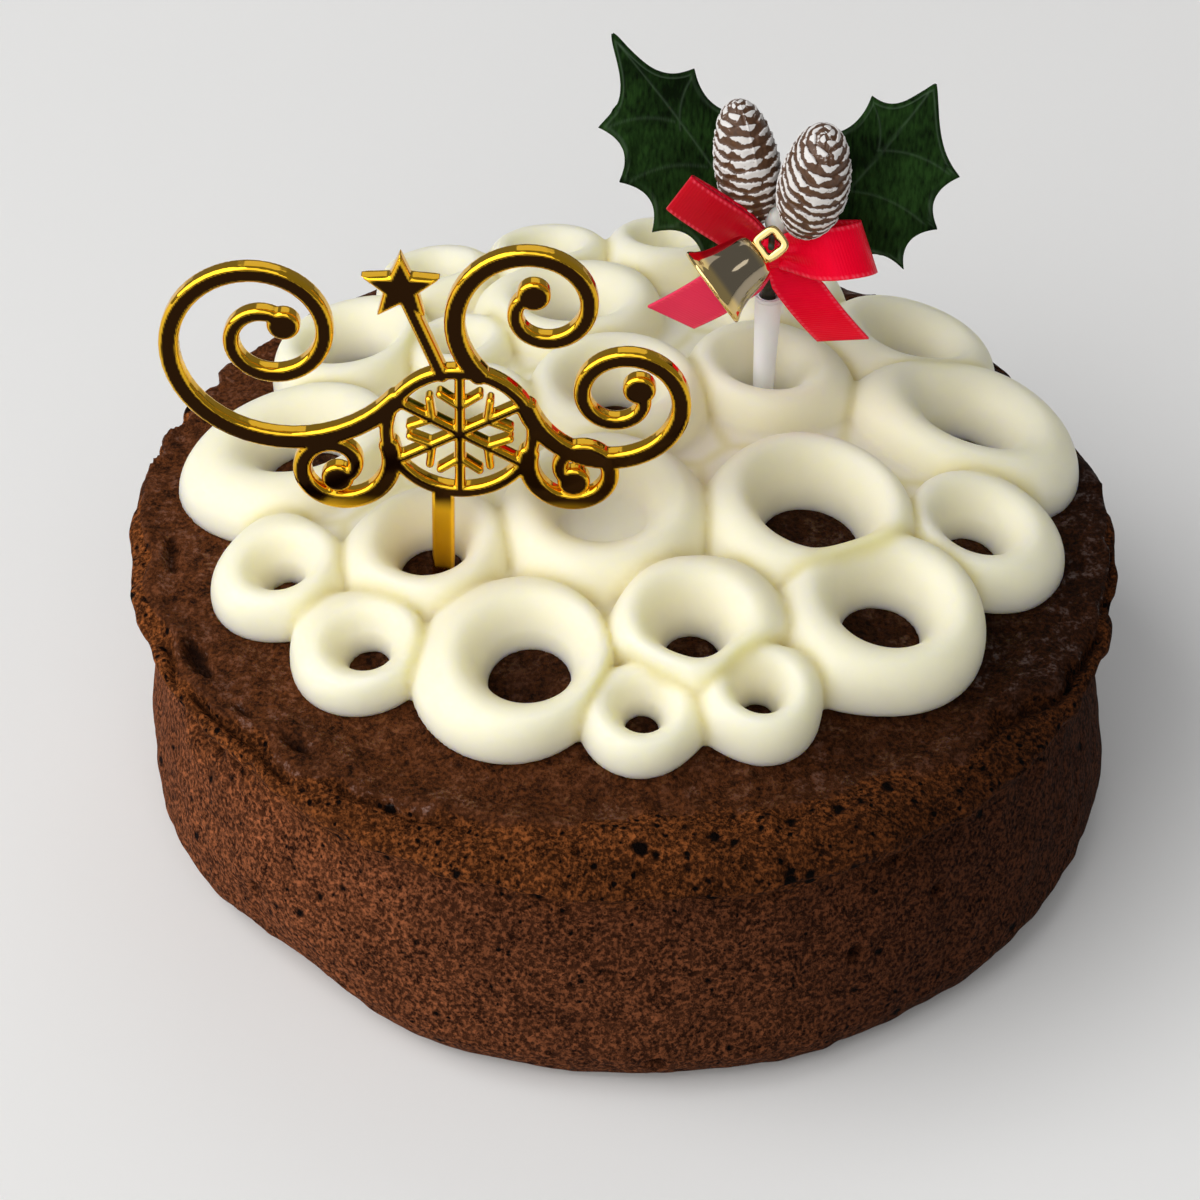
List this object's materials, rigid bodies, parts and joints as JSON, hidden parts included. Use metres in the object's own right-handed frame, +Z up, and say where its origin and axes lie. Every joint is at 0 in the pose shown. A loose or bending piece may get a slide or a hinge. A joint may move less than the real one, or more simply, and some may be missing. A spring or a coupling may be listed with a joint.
{
  "type": "chocolate christmas cake",
  "caption": "Round chocolate sponge cake with fused rings of cream on its domed top, a gold scrollwork topper on a stick and a holly pick with cones, ribbon bow and bell",
  "frame": {"origin": "the middle of the cake's flat base, on the surface that it stands on", "axes": "+Z is up out of the cake's top, -Y is the front that the picture shows, +X is to the right in that view"},
  "size_m": [0.1475, 0.1468, 0.11],
  "materials": {
    "chocolate_sponge": "baked chocolate sponge, open pores, slightly moist crust on top",
    "cream": "smooth set cream, soft sheen",
    "gold_plastic": "mirror-bright gold-coloured plating on plastic",
    "white_plastic": "white moulded plastic, satin",
    "green_wire": "dark green paper-wrapped wire",
    "glue": "set hot glue, milky",
    "leaf_fabric": "dark green pressed fabric with embossed veins",
    "painted_cone": "brown moulded cone, white paint on the scale edges",
    "red_satin": "red satin ribbon with a woven edge",
    "gold_bell": "pale gold plating, polished"
  },
  "bodies": {
    "root": {"cake": "chocolate_sponge", "cream_rings": "cream", "gold_topper": "gold_plastic", "pick_stick": "white_plastic", "stem_wire": "green_wire", "glue_dab": "glue", "leaf_left": "leaf_fabric", "leaf_right": "leaf_fabric", "cone_left": "painted_cone", "cone_right": "painted_cone", "ribbon_bow": "red_satin", "bell": "gold_bell"}
  },
  "joints": []
}
